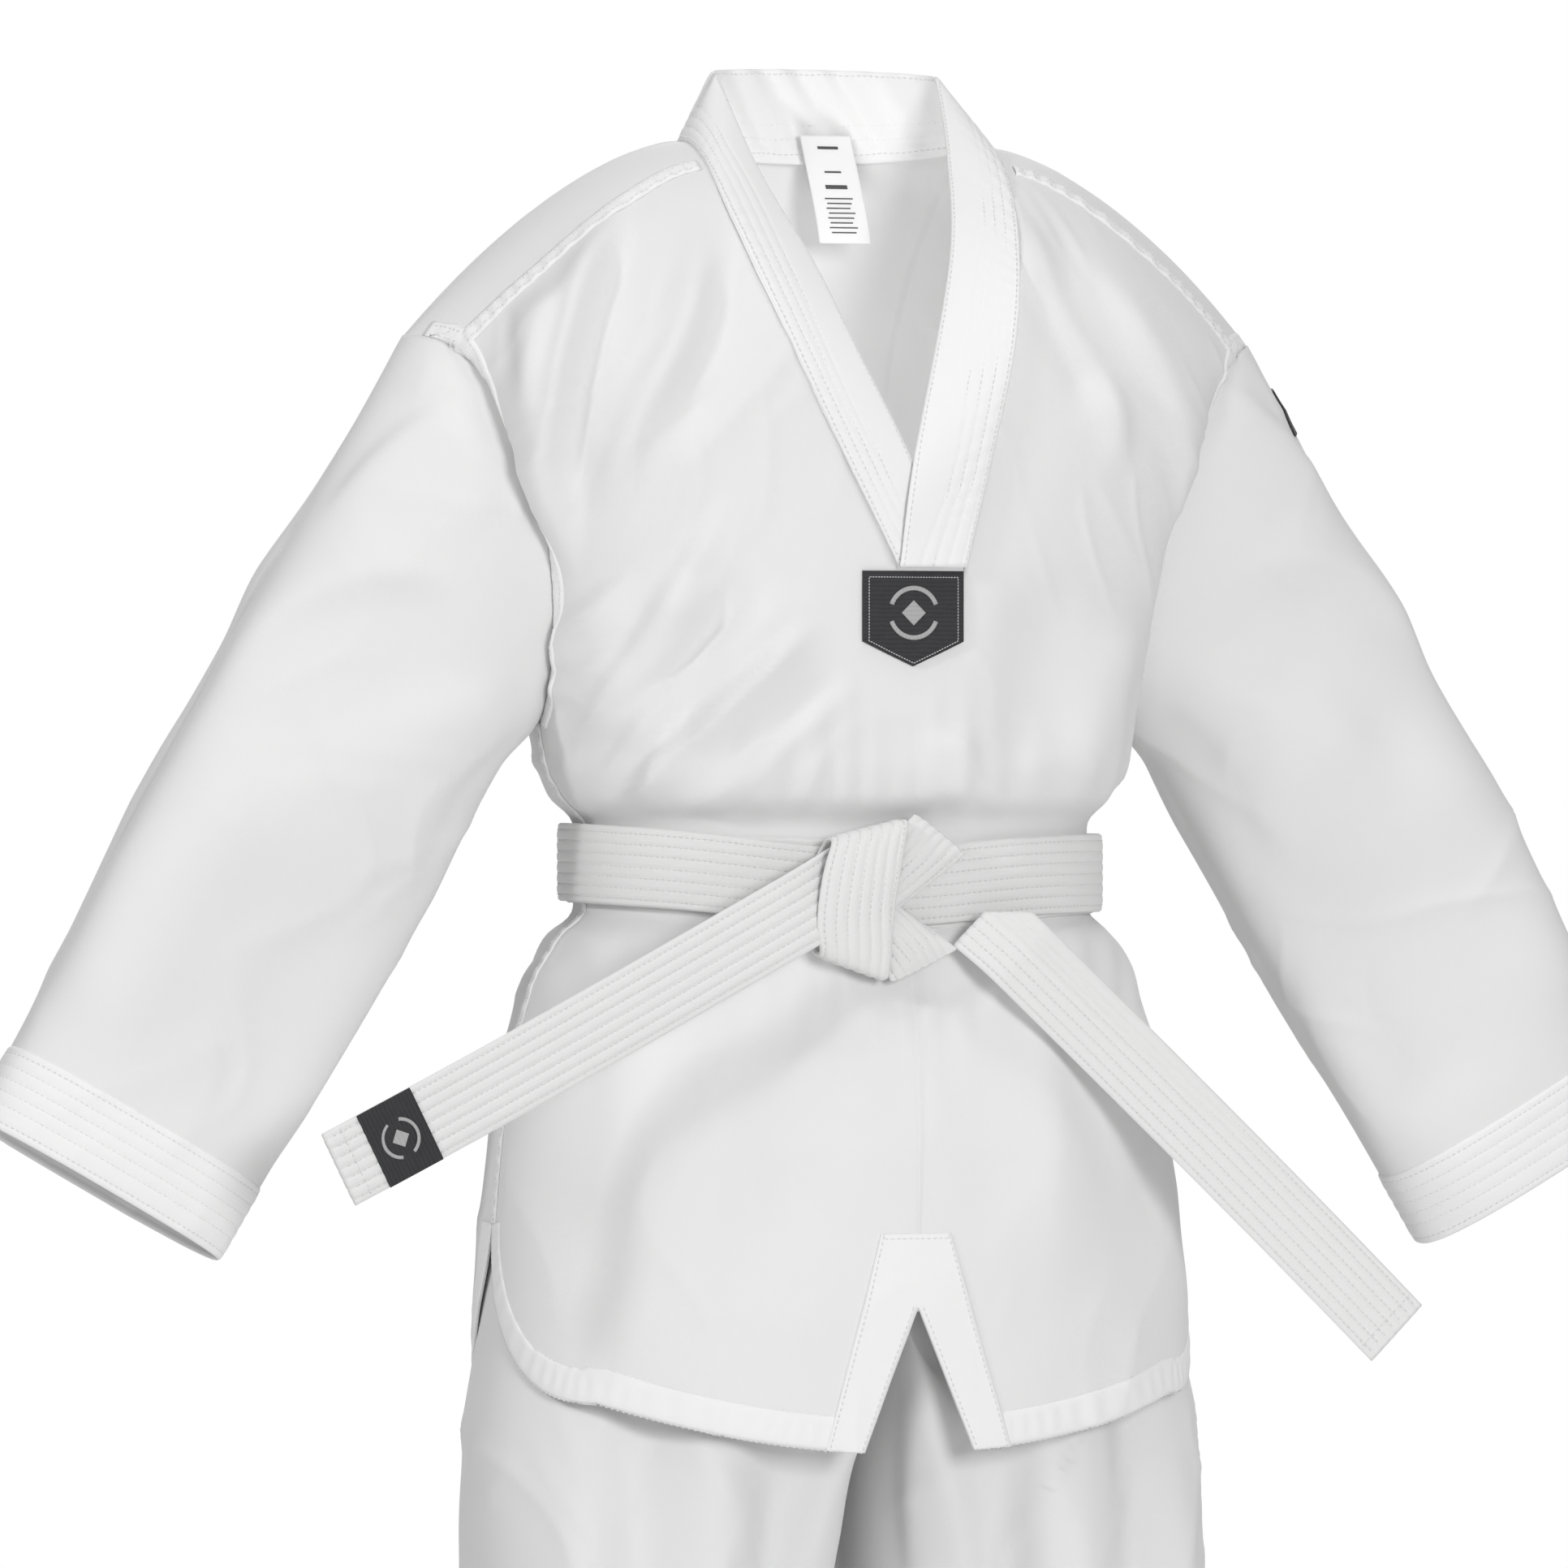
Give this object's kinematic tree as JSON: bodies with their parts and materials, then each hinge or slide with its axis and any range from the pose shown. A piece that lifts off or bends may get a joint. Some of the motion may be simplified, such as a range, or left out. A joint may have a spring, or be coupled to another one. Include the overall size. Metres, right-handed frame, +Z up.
{
  "type": "martial arts uniform",
  "caption": "White V-neck pullover jacket, quilted belt tied in a square knot and loose trousers, in worn shape without a wearer.",
  "frame": {"origin": "at the nape, on the body's middle plane, 5 mm above the seam of the back collar", "axes": "+Z up, +X the wearer's left, the front faces -Y"},
  "size_m": [0.975, 0.2885, 1.375],
  "materials": {
    "cotton": "smooth plain-woven white cotton blend, matt",
    "stitched_facing": "white cloth in several layers with rows of machine stitches",
    "quilted_belt": "thick white cotton with seven quilted rows",
    "elastic_waistband": "gathered white cloth over elastic",
    "label_satin": "white woven satin ribbon with a faint sheen",
    "black_badge": "black embroidered twill with a pale border line"
  },
  "bodies": {
    "jacket": {"front_panel": "cotton", "back_panel": "cotton", "collar_left_band": "stitched_facing", "collar_right_band": "stitched_facing", "collar_back_band": "stitched_facing", "slit_facing": "stitched_facing", "chest_patch": "black_badge", "sleeve_emblem": "black_badge", "left_sleeve_head_front": "cotton", "left_sleeve_head_back": "cotton", "right_sleeve_head_front": "cotton", "right_sleeve_head_back": "cotton", "belt_under_wrap": "quilted_belt", "belt_outer_wrap": "quilted_belt", "belt_knot_loop": "quilted_belt", "belt_knot_core": "quilted_belt", "belt_knot_upper_fold": "quilted_belt", "belt_knot_lower_fold": "quilted_belt"},
    "left_sleeve": {"left_sleeve": "cotton", "left_cuff": "stitched_facing"},
    "right_sleeve": {"right_sleeve": "cotton", "right_cuff": "stitched_facing"},
    "label": {"neck_label": "label_satin"},
    "belt_left_tail": {"belt_left_tail": "quilted_belt"},
    "belt_right_tail": {"belt_right_tail": "quilted_belt", "belt_end_patch": "black_badge"},
    "trousers": {"trouser_waistband": "elastic_waistband", "trouser_seat": "cotton", "left_thigh": "cotton", "right_thigh": "cotton"},
    "left_leg": {"left_leg": "cotton", "left_leg_hem": "cotton"},
    "right_leg": {"right_leg": "cotton", "right_leg_hem": "cotton"}
  },
  "joints": [
    {"name": "left_sleeve_swing", "type": "hinge", "parent": "jacket", "child": "left_sleeve", "pos_m": [0.23155, 0, -0.25867], "axis": [0, -1, 0], "range_deg": [-3, 40]},
    {"name": "right_sleeve_swing", "type": "hinge", "parent": "jacket", "child": "right_sleeve", "pos_m": [-0.23155, 0, -0.25867], "axis": [0, 1, 0], "range_deg": [-3, 40]},
    {"name": "label_flip", "type": "hinge", "parent": "jacket", "child": "label", "pos_m": [0.012, 0.0414, -0.002], "axis": [-1, 0, 0], "range_deg": [-5, 120]},
    {"name": "belt_left_tail_swing", "type": "hinge", "parent": "jacket", "child": "belt_left_tail", "pos_m": [0.068, -0.132, -0.458], "axis": [0, -1, 0], "range_deg": [-40, 25]},
    {"name": "belt_right_tail_swing", "type": "hinge", "parent": "jacket", "child": "belt_right_tail", "pos_m": [-0.066, -0.132, -0.436], "axis": [0, 1, 0], "range_deg": [-55, 20]},
    {"name": "trousers_pull_down", "type": "slide", "parent": "jacket", "child": "trousers", "axis": [0, 0, -1], "range_m": [0, 0.2]},
    {"name": "left_leg_swing", "type": "hinge", "parent": "trousers", "child": "left_leg", "pos_m": [0.105, 0, -0.7], "axis": [-1, 0, 0], "range_deg": [-20, 20]},
    {"name": "right_leg_swing", "type": "hinge", "parent": "trousers", "child": "right_leg", "pos_m": [-0.105, 0, -0.7], "axis": [-1, 0, 0], "range_deg": [-20, 20]}
  ]
}
